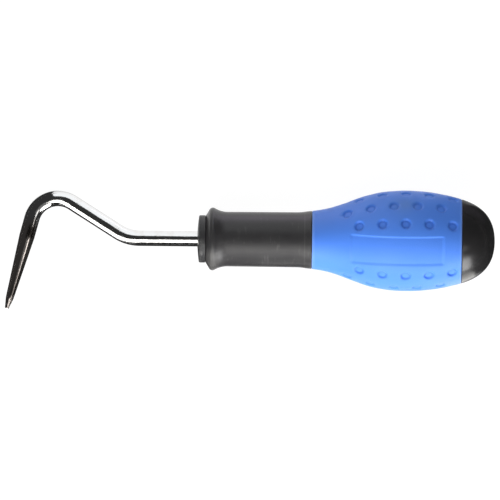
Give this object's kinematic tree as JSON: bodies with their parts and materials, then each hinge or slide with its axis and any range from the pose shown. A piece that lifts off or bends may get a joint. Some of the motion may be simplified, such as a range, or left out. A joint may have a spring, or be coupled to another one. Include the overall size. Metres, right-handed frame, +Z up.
{
  "type": "puller hook",
  "caption": "Hand tool with a chromed rod bent to a pointed hook and a swelling, dimpled screwdriver-type grip, for pulling out seals, hoses and clips.",
  "frame": {"origin": "centre of the bounding box on the surface that the tool lies on", "axes": "+X along the tool towards the end cap, +Z up, hook point towards -Y and knee towards +Y"},
  "size_m": [0.1904, 0.0472, 0.0394],
  "materials": {
    "chromed_steel": "bright chrome plating on drawn steel rod",
    "core_plastic": "moulded black plastic, lightly worn",
    "neck_matte": "matt black, fine moulded grain",
    "grip_rubber": "soft satin blue rubber with round dimples",
    "cap_gloss": "smooth black, half gloss"
  },
  "bodies": {
    "root": {"hook_shaft": "chromed_steel", "handle_core": "core_plastic", "neck_sleeve": "neck_matte", "grip_sleeve": "grip_rubber", "end_cap": "cap_gloss"}
  },
  "joints": []
}
